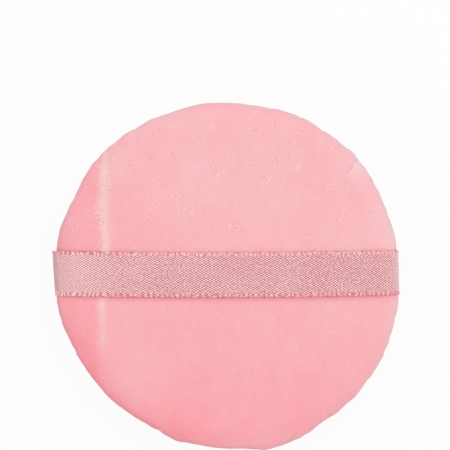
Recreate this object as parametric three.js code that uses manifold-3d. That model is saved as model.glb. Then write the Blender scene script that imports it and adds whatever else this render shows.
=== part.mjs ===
// A round velour powder puff with a ribbon finger strap, in millimetres.
// The powder face lies on z = 0, the ribbon runs along X over the crowned back, and +Z is up.
import * as THREE from "three";
import { mergeVertices } from "three/addons/utils/BufferGeometryUtils.js";
import Module from "manifold-3d";

// The cushion
const PUFF_DIAMETER = 100; // across the rim
const BACK_DEPTH = 11; // rim seam to the crown of the back
const FACE_DEPTH = 9; // rim seam to the powder face
const FACE_FLAT_DIAMETER = 60; // the part of the powder face that lies flat on a table
const CROWN_RISE = 2; // rise of the back from its rounded edge to its middle
const FACE_RISE = 2; // fall of the powder face from its rounded edge to its flat
const COVER_THICKNESS = 1.6; // knitted ground with its pile
const FOLD_INNER_RADIUS = 0.4; // inside of each cover's turned-in edge
const SEAM_ALLOWANCE = 5; // width of each cover that is turned in at the rim
const BACK_WADDING_THICKNESS = 3.6; // at the middle
const FACE_WADDING_THICKNESS = 3; // at the middle
const FOAM_EDGE_RADIUS = 1.5;

// The ribbon
const RIBBON_WIDTH = 13;
const RIBBON_THICKNESS = 0.4;
const RIBBON_STANDOFF = 0.4; // from the nap of the back to the underside of the strap
const RIBBON_END_INSET = 1; // from the raw edge of the allowance to the end of the ribbon
const STRAP_ARC_SEGMENTS = 8;

// The sewing
const THREAD_DIAMETER = 0.4;
const THREAD_LEG_GAP = 0.5; // between the two legs of a stitch in one needle hole
const THREAD_SIDES = 5;
const STITCH_LENGTH = 6;
const STITCH_INSET = 1.5; // from the fold to the line of stitches
const CLOSING_BEARING = 251; // degrees from +X, the middle of the gap that the filling went in through
const CLOSING_LENGTH = 30; // of that gap, along the rim
const CLOSING_STITCH_LENGTH = 3;
const CLOSING_DEPTH = 0.5; // from the rim to the closing thread in the notch of the seam

// Fits and facets
const CLEARANCE = 0.3; // between any two pieces that lie on each other
const ROUND_SEGMENTS = 48;
const OUTSIDE_STEPS = { crown: 4, rim: 5, fold: 3 }; // facets of each arc in a section
const INSIDE_STEPS = { crown: 2, rim: 4, fold: 2 };

// Radii from the middle of the puff, and heights from the plane of the rim seam.
const rimRadius = PUFF_DIAMETER / 2;
const seamHalfGap = CLEARANCE / 2;
const foldRadius = COVER_THICKNESS + FOLD_INNER_RADIUS;
const foldCentre = rimRadius - foldRadius;
const foldHeight = seamHalfGap + foldRadius;
const allowanceEdge = foldCentre - SEAM_ALLOWANCE;
const allowanceTop = seamHalfGap + COVER_THICKNESS;
const stitchRadius = foldCentre - STITCH_INSET;
const fillingInset = COVER_THICKNESS + CLEARANCE;
const backFoamHeight = BACK_DEPTH - fillingInset - BACK_WADDING_THICKNESS - CLEARANCE;
const faceFoamHeight = FACE_DEPTH - fillingInset - FACE_WADDING_THICKNESS - CLEARANCE;
const ribbonEndX = allowanceEdge + RIBBON_END_INSET;

const wasm = await Module();
wasm.setup();

// A closed geometry as a solid for cutting and joining.
function solidOf(geometry) {
  const bare = geometry.clone();
  bare.deleteAttribute("normal");
  bare.deleteAttribute("uv");
  const merged = mergeVertices(bare, 1e-4);
  return new wasm.Manifold(
    new wasm.Mesh({
      numProp: 3,
      vertProperties: merged.attributes.position.array,
      triVerts: new Uint32Array(merged.index.array),
    }),
  );
}

function geometryOf(solid) {
  const { vertProperties, triVerts } = solid.getMesh();
  const geometry = new THREE.BufferGeometry();
  geometry.setAttribute("position", new THREE.BufferAttribute(vertProperties, 3));
  geometry.setIndex(new THREE.BufferAttribute(triVerts, 1));
  geometry.computeVertexNormals();
  return geometry;
}

// Points of an arc in the plane of radius and height.
function arc(centreRadius, centreHeight, radius, from, to, steps) {
  return Array.from({ length: steps + 1 }, (_, i) => {
    const angle = from + ((to - from) * i) / steps;
    return new THREE.Vector2(
      centreRadius + radius * Math.cos(angle),
      centreHeight + radius * Math.sin(angle),
    );
  });
}

// A half-section turned about Z. The back lies above the seam plane (side 1), the face below it (side -1).
function turned(section, side) {
  const points = section
    .filter((p, i) => i === 0 || p.distanceTo(section[i - 1]) > 1e-6)
    .map((p) => new THREE.Vector2(p.x, side * p.y));
  if (side > 0) points.reverse();
  return new THREE.LatheGeometry(points, ROUND_SEGMENTS).rotateX(Math.PI / 2);
}

// A cover's outer surface is three arcs, each tangent to the next: a shallow crown outside its flat
// middle, the round rim, and the fold that turns in to the seam.
function coverSurface(depth, rise, flatRadius) {
  const side = depth - foldHeight;
  const rim = side - rise;
  const reach = rimRadius - rim - flatRadius;
  const crown = (reach ** 2 + side ** 2 - rim ** 2) / (2 * rise);
  const tangent = Math.atan2(crown - side, reach);
  return { depth, flatRadius, crown, rim, tangent };
}

const backSurface = coverSurface(BACK_DEPTH, CROWN_RISE, 0);
const faceSurface = coverSurface(FACE_DEPTH, FACE_RISE, FACE_FLAT_DIAMETER / 2);

// The section of a surface, or of one that lies inside it, from the axis out to an angle of its rim.
function crownToRim(surface, inset, rimAngle, steps) {
  const { depth, flatRadius, crown, rim, tangent } = surface;
  return [
    new THREE.Vector2(0, depth - inset),
    ...arc(flatRadius, depth - crown, crown - inset, Math.PI / 2, tangent, steps.crown),
    ...arc(rimRadius - rim, foldHeight, rim - inset, tangent, rimAngle, steps.rim),
  ];
}

// The section of one face of a cover, from the axis to where the turned-in allowance lies level.
function crownToFold(surface, inset, steps) {
  return [
    ...crownToRim(surface, inset, 0, steps),
    ...arc(foldCentre, foldHeight, foldRadius - inset, 0, -Math.PI / 2, steps.fold),
  ];
}

// A velour shell with its edge turned in as a seam allowance.
function coverSection(surface) {
  return [
    ...crownToFold(surface, 0, OUTSIDE_STEPS),
    new THREE.Vector2(allowanceEdge, seamHalfGap),
    new THREE.Vector2(allowanceEdge, allowanceTop),
    ...crownToFold(surface, COVER_THICKNESS, INSIDE_STEPS).reverse(),
  ];
}

// Soft wadding between a cover and the foam, with a skirt that fills the rim outside the foam.
function waddingSection(surface, foamHeight) {
  const foot = Math.max(foldHeight, allowanceTop + THREAD_DIAMETER + 2 * CLEARANCE);
  const footAngle = Math.asin((foot - foldHeight) / (surface.rim - fillingInset));
  return [
    ...crownToRim(surface, fillingInset, footAngle, INSIDE_STEPS),
    new THREE.Vector2(allowanceEdge, foot),
    new THREE.Vector2(allowanceEdge, foamHeight + CLEARANCE),
    new THREE.Vector2(0, foamHeight + CLEARANCE),
  ];
}

// A flat disc of foam that fits inside the raw edges of the allowances.
function foamSection() {
  const edge = allowanceEdge - CLEARANCE - FOAM_EDGE_RADIUS;
  const top = backFoamHeight - FOAM_EDGE_RADIUS;
  const bottom = FOAM_EDGE_RADIUS - faceFoamHeight;
  return [
    new THREE.Vector2(0, backFoamHeight),
    ...arc(edge, top, FOAM_EDGE_RADIUS, Math.PI / 2, 0, INSIDE_STEPS.fold),
    ...arc(edge, bottom, FOAM_EDGE_RADIUS, 0, -Math.PI / 2, INSIDE_STEPS.fold),
    new THREE.Vector2(0, -faceFoamHeight),
  ];
}

// A ribbon seen from its edge, drawn in the plane of X and height, and given its width along Y.
function ribbon(edgeShape) {
  const options = { depth: RIBBON_WIDTH, bevelEnabled: false, curveSegments: STRAP_ARC_SEGMENTS };
  return new THREE.ExtrudeGeometry(edgeShape, options)
    .translate(0, 0, -RIBBON_WIDTH / 2)
    .rotateX(Math.PI / 2);
}

// The free span of the ribbon, from the widest point of one rim over the back to the other.
function strapShape() {
  const { depth, crown, rim, tangent } = backSurface;
  const rimX = rimRadius - rim;
  const under = RIBBON_STANDOFF;
  const over = RIBBON_STANDOFF + RIBBON_THICKNESS;
  const shape = new THREE.Shape();
  shape.absarc(rimX, foldHeight, rim + over, 0, tangent, false);
  shape.absarc(0, depth - crown, crown + over, tangent, Math.PI - tangent, false);
  shape.absarc(-rimX, foldHeight, rim + over, Math.PI - tangent, Math.PI, false);
  shape.absarc(-rimX, foldHeight, rim + under, Math.PI, Math.PI - tangent, true);
  shape.absarc(0, depth - crown, crown + under, Math.PI - tangent, tangent, true);
  shape.absarc(rimX, foldHeight, rim + under, tangent, 0, true);
  return shape;
}

// The right end of the ribbon: flat in the seam, then turned up round the rim to where the strap starts.
function ribbonEndShape() {
  const half = RIBBON_THICKNESS / 2;
  const turnX = rimRadius + RIBBON_STANDOFF + half - foldHeight;
  const top = -Math.asin(CLEARANCE / foldHeight);
  const shape = new THREE.Shape();
  shape.moveTo(ribbonEndX, -half);
  shape.lineTo(turnX, -half);
  shape.absarc(turnX, foldHeight, foldHeight + half, -Math.PI / 2, top, false);
  shape.absarc(turnX, foldHeight, foldHeight - half, top, -Math.PI / 2, true);
  shape.lineTo(ribbonEndX, half);
  return shape;
}

// The space in the seam that both ends of the ribbon lie in.
function ribbonPockets() {
  const from = ribbonEndX - CLEARANCE;
  const to = rimRadius + foldRadius;
  const box = new THREE.BoxGeometry(
    to - from,
    RIBBON_WIDTH + 2 * CLEARANCE,
    RIBBON_THICKNESS + 2 * CLEARANCE,
  ).translate((from + to) / 2, 0, 0);
  const right = solidOf(box);
  return right.add(solidOf(box.rotateZ(Math.PI)));
}

const closingMiddle = THREE.MathUtils.degToRad(CLOSING_BEARING);
const closingHalf = CLOSING_LENGTH / 2 / rimRadius;
const seamStart = closingMiddle + closingHalf;
const seamSweep = 2 * (Math.PI - closingHalf);
const stitchCount = Math.floor((seamSweep * stitchRadius) / STITCH_LENGTH);
const stitchAngles = Array.from(
  { length: stitchCount },
  (_, i) => seamStart + ((i + 0.5) * seamSweep) / stitchCount,
);

// Needle holes through both allowances, each wide enough for the two legs of its stitch.
function needleHoles() {
  const slot = new THREE.BoxGeometry(
    THREAD_DIAMETER + 2 * CLEARANCE,
    2 * (THREAD_DIAMETER + CLEARANCE) + THREAD_LEG_GAP,
    2 * (allowanceTop + CLEARANCE),
  ).translate(stitchRadius, 0, 0);
  return wasm.Manifold.union(stitchAngles.map((a) => solidOf(slot.clone().rotateZ(a))));
}

// A round thread laid at one radius through a list of angles and heights.
function thread(radius, route) {
  const points = route.map(
    ([angle, height]) =>
      new THREE.Vector3(radius * Math.cos(angle), radius * Math.sin(angle), height),
  );
  const last = points.length - 1;
  const positions = [];
  points.forEach((point, i) => {
    const outward = new THREE.Vector3(Math.cos(route[i][0]), Math.sin(route[i][0]), 0);
    const before = point.clone().sub(points[Math.max(i - 1, 0)]).normalize();
    const after = points[Math.min(i + 1, last)].clone().sub(point).normalize();
    const along = before.clone().add(after).normalize();
    const mitre = Math.max(before.dot(along), after.dot(along));
    const across = outward.clone().cross(along).normalize().divideScalar(mitre);
    for (let k = 0; k < THREAD_SIDES; k++) {
      const turn = (2 * Math.PI * k) / THREAD_SIDES;
      const rim = outward.clone().multiplyScalar(Math.cos(turn));
      rim.addScaledVector(across, Math.sin(turn)).multiplyScalar(THREAD_DIAMETER / 2);
      positions.push(...point.clone().add(rim).toArray());
    }
  });
  const indices = [];
  for (let k = 0; k < THREAD_SIDES; k++) {
    const next = (k + 1) % THREAD_SIDES;
    for (let i = 0; i < last; i++) {
      const here = i * THREAD_SIDES;
      const there = here + THREAD_SIDES;
      indices.push(here + k, there + k, there + next, here + k, there + next, here + next);
    }
    const end = last * THREAD_SIDES;
    if (k > 0 && k < THREAD_SIDES - 1) {
      indices.push(0, k, next, end, end + next, end + k);
    }
  }
  const geometry = new THREE.BufferGeometry();
  geometry.setAttribute("position", new THREE.Float32BufferAttribute(positions, 3));
  geometry.setIndex(indices);
  geometry.computeVertexNormals();
  return geometry;
}

// One thread of the rim's lockstitch. It lies on the allowance of its own side and dips into each
// needle hole as far as the ribbon, which the thread of the other side reaches from beyond.
function lockstitch(side) {
  const lying = side * (allowanceTop + CLEARANCE + THREAD_DIAMETER / 2);
  const dip = side * (RIBBON_THICKNESS / 2 + CLEARANCE + THREAD_DIAMETER / 2);
  const leg = (THREAD_DIAMETER + THREAD_LEG_GAP) / 2 / stitchRadius;
  const stitches = stitchAngles.flatMap((a) => [
    [a - leg, lying],
    [a - leg, dip],
    [a + leg, dip],
    [a + leg, lying],
  ]);
  return thread(stitchRadius, [[seamStart, lying], ...stitches, [seamStart + seamSweep, lying]]);
}

// The hand-sewn stitches in the notch between the two folds, where the puff was closed after filling.
function closingStitches() {
  const radius = rimRadius - CLOSING_DEPTH;
  const notch = foldHeight - Math.sqrt(foldRadius ** 2 - (radius - foldCentre) ** 2);
  const swing = notch - THREAD_DIAMETER / 2 - CLEARANCE;
  const count = Math.floor(CLOSING_LENGTH / CLOSING_STITCH_LENGTH);
  const route = Array.from({ length: count + 1 }, (_, i) => [
    closingMiddle + closingHalf * ((2 * i) / count - 1),
    i % 2 ? swing : -swing,
  ]);
  return thread(radius, route);
}

function finish(color, roughness) {
  return new THREE.MeshStandardMaterial({ color, roughness, metalness: 0 });
}

const puff = new THREE.Group();
puff.name = "powder_puff";
const seamPlane = new THREE.Group();
seamPlane.position.z = FACE_DEPTH;
puff.add(seamPlane);

function place(name, geometry, material) {
  const mesh = new THREE.Mesh(geometry, material);
  mesh.name = name;
  seamPlane.add(mesh);
  return mesh;
}

const openings = ribbonPockets().add(needleHoles());
const backShell = solidOf(turned(coverSection(backSurface), 1));
const faceShell = solidOf(turned(coverSection(faceSurface), -1));

place("back_cover", geometryOf(backShell.subtract(openings)), finish(0xfab8be, 0.95));
place("face_cover", geometryOf(faceShell.subtract(openings)), finish(0xfab8be, 0.95));
place("foam_core", turned(foamSection(), 1), finish(0xf4efe2, 0.9));
place("back_wadding", turned(waddingSection(backSurface, backFoamHeight), 1), finish(0xf8f7f4, 1));
place("face_wadding", turned(waddingSection(faceSurface, faceFoamHeight), -1), finish(0xf8f7f4, 1));
place("ribbon_strap", ribbon(strapShape()), finish(0xe4b0b5, 0.6));
place("right_ribbon_end", ribbon(ribbonEndShape()), finish(0xe4b0b5, 0.6));
place("left_ribbon_end", ribbon(ribbonEndShape()), finish(0xe4b0b5, 0.6)).rotation.z = Math.PI;
place("rim_needle_thread", lockstitch(1), finish(0xf0a9b2, 0.7));
place("rim_bobbin_thread", lockstitch(-1), finish(0xf0a9b2, 0.7));
place("closing_thread", closingStitches(), finish(0xf0a9b2, 0.7));

export default puff;
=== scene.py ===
# %% [markdown]
# # A velour powder puff
# The real thing is a round cushion of pink velour, a hand's width across, with a ribbon over its back
# that two fingers slip under. The CAD model holds its sizes, its seam and the way that the strap lifts.
# This lesson dresses that model with covers that are sewn and stuffed, a woven ribbon, the filling
# inside and a plain white studio. Every piece is made in the CAD model's frame, in metres: the powder
# face lies on Z = 0 and the ribbon runs along X.

# %% Load the CAD model
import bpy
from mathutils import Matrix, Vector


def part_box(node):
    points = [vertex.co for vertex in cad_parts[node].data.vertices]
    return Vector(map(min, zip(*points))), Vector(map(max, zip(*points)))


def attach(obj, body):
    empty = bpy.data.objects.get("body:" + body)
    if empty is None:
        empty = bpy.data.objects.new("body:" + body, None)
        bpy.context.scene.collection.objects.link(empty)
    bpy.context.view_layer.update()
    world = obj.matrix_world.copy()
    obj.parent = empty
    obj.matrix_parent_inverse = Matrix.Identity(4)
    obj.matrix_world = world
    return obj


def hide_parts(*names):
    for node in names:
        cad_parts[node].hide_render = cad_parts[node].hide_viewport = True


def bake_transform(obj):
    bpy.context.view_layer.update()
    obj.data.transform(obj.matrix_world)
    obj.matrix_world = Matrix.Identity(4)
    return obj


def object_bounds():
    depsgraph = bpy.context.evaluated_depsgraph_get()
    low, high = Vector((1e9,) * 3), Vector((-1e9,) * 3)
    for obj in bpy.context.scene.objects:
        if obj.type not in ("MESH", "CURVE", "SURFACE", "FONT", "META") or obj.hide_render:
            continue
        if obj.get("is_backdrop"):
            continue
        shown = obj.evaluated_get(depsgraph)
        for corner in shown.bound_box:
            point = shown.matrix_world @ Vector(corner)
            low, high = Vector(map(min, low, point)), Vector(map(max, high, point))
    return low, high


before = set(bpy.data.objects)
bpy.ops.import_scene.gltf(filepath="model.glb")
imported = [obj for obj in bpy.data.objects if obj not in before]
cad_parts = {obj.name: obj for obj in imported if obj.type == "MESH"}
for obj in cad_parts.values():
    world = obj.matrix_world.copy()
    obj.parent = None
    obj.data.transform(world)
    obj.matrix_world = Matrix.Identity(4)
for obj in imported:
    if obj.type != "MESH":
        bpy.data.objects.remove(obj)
cad_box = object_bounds()

# %% [markdown]
# ## Sizes
# The outer sizes are read from the CAD nodes, so a change in the model carries over to the cloth. The
# few sizes that a box can't give, such as the radius of a turned-in edge, are written here as the
# sewing pattern has them. Heights in a section are measured from the plane of the rim seam.

# %% Sizes from the frame and from the sewing pattern
import math

import bpy
import numpy as np
from mathutils import Vector, noise

MM = 0.001
back_low, back_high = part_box("back_cover")
face_low, face_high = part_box("face_cover")
strap_low, strap_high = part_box("ribbon_strap")

rim_radius = back_high[0]
seam_z = (back_low[2] + face_high[2]) / 2
seam_half_gap = (back_low[2] - face_high[2]) / 2
back_depth = back_high[2] - seam_z
face_depth = seam_z - face_low[2]
ribbon_width = strap_high[1] - strap_low[1]

CROWN_RISE = 2 * MM  # from the round edge of a cover to its middle
FACE_FLAT_RADIUS = 30 * MM  # of the flat in the middle of the powder face
FOLD_RADIUS = 1 * MM  # where the edge of a cover turns in to the seam
COVER_THICKNESS = 0.8 * MM
SEAM_ALLOWANCE = 5 * MM  # the width of the turned-in edge

fold_centre = rim_radius - FOLD_RADIUS
fold_height = seam_half_gap + FOLD_RADIUS
print(f"Puff {2 * rim_radius / MM:.0f} mm across, with its seam {seam_z / MM:.1f} mm up")
print(f"Ribbon {ribbon_width / MM:.0f} mm wide")

# %% [markdown]
# ## The section of a cover
# A stuffed cover is nearly a turned shape. Its half-section is a shallow crown, a round rim and the fold
# where the edge turns in to the seam: three arcs, each tangent to the next. It could be spun round the
# axis, but a spun mesh has a pole in the middle of the very face that the camera sees. Here the section
# is kept as points that can be read by the share of their length, so that any mesh can be laid along it.

# %% Arcs and half-sections
ARC_STEPS = 48


def arc(centre_radius, centre_height, radius, start, end):
    angles = np.linspace(start, end, ARC_STEPS + 1)
    radii = centre_radius + radius * np.cos(angles)
    return np.stack([radii, centre_height + radius * np.sin(angles)], axis=1)


class Section:
    """A half-section as points of radius and height, read by the share of its length from the axis."""

    def __init__(self, *runs):
        self.points = np.concatenate([np.atleast_2d(run) for run in runs])
        steps = np.linalg.norm(np.diff(self.points, axis=0), axis=1)
        lengths = np.concatenate([[0.0], np.cumsum(steps)])
        self.length = lengths[-1]
        self.shares = lengths / self.length

    def at(self, share):
        return np.array([np.interp(share, self.shares, run) for run in self.points.T])


print(f"A quarter of a circle, over its radius: {Section(arc(0, 0, 1, 0, math.pi / 2)).length:.3f}")


# %% The arcs of the two covers
class CoverShape:
    """The arcs of one cover. Side is 1 for the back, above the seam, and -1 for the face, below it."""

    def __init__(self, depth, flat_radius, side):
        self.depth = depth
        self.flat_radius = flat_radius
        self.side = side
        self.rim = depth - fold_height - CROWN_RISE
        reach = rim_radius - self.rim - flat_radius
        drop = depth - fold_height
        self.crown = (reach**2 + drop**2 - self.rim**2) / (2 * CROWN_RISE)
        self.tangent = math.atan2(self.crown - drop, reach)

    def crown_to_rim(self, inset=0.0, rim_angle=0.0):
        middle = (0.0, self.depth - inset)
        crown_centre = self.depth - self.crown
        crown = arc(self.flat_radius, crown_centre, self.crown - inset, math.pi / 2, self.tangent)
        rim = arc(rim_radius - self.rim, fold_height, self.rim - inset, self.tangent, rim_angle)
        return np.concatenate([[middle], crown, rim])

    def section(self, *runs):
        points = np.concatenate([np.atleast_2d(run) for run in runs])
        return Section(points * (1, self.side) + (0, seam_z))

    def to_seam(self):
        fold = arc(fold_centre, fold_height, FOLD_RADIUS, 0, -math.pi / 2)
        return self.section(self.crown_to_rim(), fold)


back_shape = CoverShape(back_depth, 0.0, 1)
face_shape = CoverShape(face_depth, FACE_FLAT_RADIUS, -1)
back_section = back_shape.to_seam()
face_section = face_shape.to_seam()
print(f"Middle to seam: back {back_section.length / MM:.1f} mm, face {face_section.length / MM:.1f} mm")

# %% [markdown]
# ## A cushion without poles
# All the stuffed pieces start as a cube that is cut into small squares. Each point is then laid along a
# half-section: the top of the cube becomes the upper side, the bottom the lower side, and the cube's
# waist becomes the rim. Squares of nearly even size everywhere are what the cloth simulation needs, and
# there is no pole to pinch the nap in the middle.


# %% Points of a mesh as one array, and a soft step
def points_of(piece):
    flat = np.empty(3 * len(piece.data.vertices))
    piece.data.vertices.foreach_get("co", flat)
    return flat.reshape(-1, 3)


def move_points(piece, points):
    piece.data.vertices.foreach_set("co", np.ascontiguousarray(points).ravel())
    piece.data.update()


def smooth(low, high, value):
    """0 below low, 1 above high and an even S between them."""
    t = np.clip((value - low) / (high - low), 0.0, 1.0)
    return t * t * (3 - 2 * t)


print(f"A soft step over 4 mm has reached {smooth(0, 4, 1):.2f} after 1 mm")


# %% Lay a finely cut cube along two half-sections
def edit_all(operator, **settings):
    """Runs a mesh operator on all of the active piece."""
    bpy.ops.object.mode_set(mode="EDIT")
    bpy.ops.mesh.select_all(action="SELECT")
    operator(**settings)
    bpy.ops.object.mode_set(mode="OBJECT")


def soft_ball(name, upper, lower, cuts):
    bpy.ops.object.select_all(action="DESELECT")
    bpy.ops.mesh.primitive_cube_add(size=2)
    ball = bpy.context.object
    ball.name = name
    edit_all(bpy.ops.mesh.subdivide, number_cuts=cuts - 1)
    edit_all(bpy.ops.mesh.faces_shade_smooth)
    rays = np.tan(points_of(ball) * math.pi / 4)
    rays /= np.linalg.norm(rays, axis=1, keepdims=True)
    bearing = np.arctan2(rays[:, 1], rays[:, 0])
    share = np.arccos(np.clip(np.abs(rays[:, 2]), 0, 1)) / (math.pi / 2)
    radius, height = np.where(rays[:, 2] >= 0, upper.at(share), lower.at(share))
    move_points(ball, np.stack([radius * np.cos(bearing), radius * np.sin(bearing), height], axis=1))
    return ball, bearing, share, rays[:, 2]


COVER_CUTS = 56
ON_SEAM = 1e-6  # a point no further than this from the cube's waist lies on the seam
puff, bearing, share, waist = soft_ball("puff_form", back_section, face_section, COVER_CUTS)
on_seam = np.abs(waist) < ON_SEAM
turned_points = points_of(puff)
turned_points[on_seam, 2] = seam_z
move_points(puff, turned_points)
print(f"Turned form: {len(turned_points)} points, {on_seam.sum()} of them on the seam")

# %% [markdown]
# ## Stuffing
# A flat disc of velour that is drawn in to a seam has too much cloth at its edge, and the stuffing pushes
# it into soft puckers along the rim. They could be drawn by hand, but Blender's Cloth finds them better:
# the cloth near the seam grows by a few hundredths, pressure stands in for the filling, and a pin group
# holds the seam hard and the flat middle softly. A fixed noise makes the start a little uneven, so that
# the puckers don't fall into step with the mesh.

# %% A slightly uneven start
UNEVENNESS = 0.08 * MM
UNEVEN_SPACING = 7 * MM
UNEVEN_SEED = 3.0
UNEVEN_SHARES = (0.78, 0.9)  # it sets in between these shares of the way from the middle to the seam


def noise_at(points, spacing, seed):
    """A smooth noise between about -1 and 1, which changes over that spacing."""
    return np.array([noise.noise(Vector(p) / spacing + Vector((seed, 0, 0))) for p in points])


outward = np.stack([np.cos(bearing), np.sin(bearing), np.zeros_like(bearing)], axis=1)
seam_points = rim_radius * outward + np.outer(np.sign(waist), [0, 0, 2 * UNEVEN_SPACING])
uneven = noise_at(seam_points, UNEVEN_SPACING, UNEVEN_SEED) * smooth(*UNEVEN_SHARES, share) * ~on_seam
move_points(puff, turned_points + UNEVENNESS * uneven[:, None] * outward)
print(f"The start is uneven by {UNEVENNESS * np.abs(uneven).max() / MM:.2f} mm at most")

# %% Swell the form from inside
CLOTH_FRAMES = 20
CLOTH_GROWTH = 0.03
CLOTH_SETTINGS = {
    "quality": 6,
    "mass": 0.1,
    "shear_stiffness": 5,
    "bending_stiffness": 1.5,
    "use_pressure": True,
    "uniform_pressure_force": 2,
    "shrink_min": -CLOTH_GROWTH,
}
MIDDLE_HOLD = 0.9
RIM_HOLD = 0.5
HOLD_SHARES = (0.74, 0.9)
GROWTH_SHARES = (0.76, 0.94)


def vertex_group(piece, name, weights):
    group = piece.vertex_groups.new(name=name)
    for i, weight in enumerate(weights):
        group.add([i], weight, "REPLACE")
    return group.name


def stuff(piece):
    hold = MIDDLE_HOLD + (RIM_HOLD - MIDDLE_HOLD) * smooth(*HOLD_SHARES, share)
    taut = 1 - smooth(*GROWTH_SHARES, share)
    cloth = piece.modifiers.new("Stuffing", "CLOTH")
    for name, value in CLOTH_SETTINGS.items():
        setattr(cloth.settings, name, value)
    cloth.settings.effector_weights.gravity = 0
    cloth.settings.vertex_group_mass = vertex_group(piece, "held", np.where(on_seam, 1.0, hold))
    cloth.settings.vertex_group_shrink = vertex_group(piece, "taut", taut)
    for step in range(CLOTH_FRAMES):
        bpy.context.scene.frame_set(step + 1)
    bpy.ops.object.modifier_apply(modifier=cloth.name)
    bpy.context.scene.frame_set(1)
    piece.vertex_groups.clear()


stuff(puff)
stuffed_points = points_of(puff)
swell = np.linalg.norm(stuffed_points - turned_points, axis=1) / MM
print(f"Stuffing moved half of the cloth over {np.median(swell):.2f} mm, and {swell.max():.2f} mm at most")

# %% [markdown]
# ## Shaping
# No puff stays as round as its pattern. In sculpt mode one would now pull the rim in and out, gather the
# seam, pinch a tuck, press a bed for the ribbon and raise the crease that a fold left in the nap. These
# are the same strokes, written as sums on the points: each has a place, a width and a depth, so it is
# easy to change and the same in each run.

# %% The uneven outline
# Each lobe is a number of waves round the rim, with its cosine and sine depth in mm.
OUTLINE_LOBES = [(2, -0.32, -0.42), (3, -0.33, 0.31), (4, 0.16, 0.03), (5, -0.03, -0.32)]
FULL_TURN = 2 * math.pi


def outline_shift(angle):
    return MM * sum(c * np.cos(n * angle) + s * np.sin(n * angle) for n, c, s in OUTLINE_LOBES)


lobes = outline_shift(np.linspace(0, FULL_TURN, 360)) / MM
print(f"The lobes move the rim by {lobes.min():.1f} to {lobes.max():.1f} mm")

# %% Dents round the rim
# Where the stuffing is thin, the seam was drawn tight or the ribbon pulls: a bearing in degrees, the
# width along the rim and the depth in mm. Less than 0 is a bulge.
RIGHT_PULL = 0.95
LEFT_PULL = 0.65
RIM_DENTS = [
    (0, 9, RIGHT_PULL), (20, 6, 0.25), (25, 4, 0.2), (56, 6, 0.5), (81, 6, 0.5),
    (110, 4, 0.5), (121, 4, 0.3), (141, 6, -0.2), (152, 5, 0.5), (168, 5, -0.2),
    (180, 9, LEFT_PULL), (203, 6, 0.5), (227, 4, -0.4), (237, 5, 0.3), (246, 4, 0.7),
    (258, 3, 0.6), (267, 8, 1.5), (275, 4, 0.7), (302, 4, 0.45), (342, 4, 0.45),
]


def bell(distance, width):
    return np.exp(-((distance / width) ** 2))


def around_rim(points, degrees):
    """The distance along the rim from a bearing."""
    angle = np.arctan2(points[:, 1], points[:, 0]) - math.radians(degrees)
    return rim_radius * ((angle + math.pi) % FULL_TURN - math.pi)


def dent_depth(points):
    return MM * sum(depth * bell(around_rim(points, at), width * MM) for at, width, depth in RIM_DENTS)


print(f"{len(RIM_DENTS)} dents, {dent_depth(turned_points).max() / MM:.1f} mm deep at most")

# %% Lobes and dents on any piece
LOBES_START = 0.4 * rim_radius
RIM_ZONE = (0.75 * rim_radius, 0.98 * rim_radius)  # the radii between which the rim sets in


def with_outline(points, dented=True):
    """The points moved in or out with the rim's lobes and its dents, least in the middle."""
    radius = np.hypot(points[:, 0], points[:, 1])
    angle = np.arctan2(points[:, 1], points[:, 0])
    shift = outline_shift(angle) * smooth(LOBES_START, rim_radius, radius)
    if dented:
        shift -= dent_depth(points) * smooth(*RIM_ZONE, radius)
    moved = points.copy()
    moved[:, :2] *= (1 + shift / np.maximum(radius, MM))[:, None]
    return moved


furthest = np.abs(with_outline(turned_points) - turned_points).max()
print(f"Together they move a point by {furthest / MM:.1f} mm at most")

# %% Gathers along the seam
# The machine feeds a little too much cloth into the seam, which draws it into lobes with a nick between.
GATHER_COUNT = 33
GATHER_DEPTH = 0.2 * MM
GATHER_SEED = 12
GATHER_WIDTHS = (0.6, 1.4)  # the narrowest and the widest, against the mean
GATHER_DEPTHS = (0.2, 1.6)  # the shallowest and the deepest, against the depth above
NICK_SHARPNESS = 4
gather_draw = np.random.default_rng(GATHER_SEED)
gather_steps = np.cumsum(gather_draw.uniform(*GATHER_WIDTHS, GATHER_COUNT))
gather_bearings = FULL_TURN * gather_steps / gather_steps[-1]
gather_depths = gather_draw.uniform(*GATHER_DEPTHS, GATHER_COUNT) * GATHER_DEPTH


def gather_shift(angle):
    """0 on the back of each lobe, and less than 0 towards the nicks on either side of it."""
    lobe = np.searchsorted(gather_bearings, angle % FULL_TURN) % GATHER_COUNT
    end = gather_bearings[lobe]
    width = (end - gather_bearings[lobe - 1]) % FULL_TURN
    across = 2 * ((end - angle) % FULL_TURN) / width - 1
    depth = np.where(across > 0, gather_depths[lobe - 1], gather_depths[lobe])
    return -depth * np.abs(across) ** NICK_SHARPNESS


print(f"{GATHER_COUNT} gathers, with nicks up to {gather_depths.max() / MM:.2f} mm deep")

# %% Where the ribbon and the crease lie
RIBBON_SHIFT = 0.3 * MM
RIBBON_TILT = math.radians(0.17)
RIBBON_BOW = 0.62 * MM
# The crease runs along Y: places along it, each with the X of its line there, in mm.
CREASE_LINE = [(-23, -36.3), (-9, -36.2), (10, -35.0), (19, -36.2), (26, -35.5), (46, -35.4)]
CREASE_FADE = 6 * MM  # at either end
CREASE_STRENGTH = 0.85
CREASE_WAVER = 0.3
CREASE_SPACING = 6 * MM
CREASE_SEED = 8.0


def ribbon_line(x):
    """How far the middle line of the ribbon lies from the X axis: shifted, tilted and a little bowed."""
    return RIBBON_SHIFT + x * math.tan(RIBBON_TILT) + RIBBON_BOW * (x / rim_radius) ** 2


def from_ribbon(points):
    """How far each point lies from the middle line of the ribbon, seen from above."""
    return points[:, 1] - ribbon_line(points[:, 0])


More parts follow.
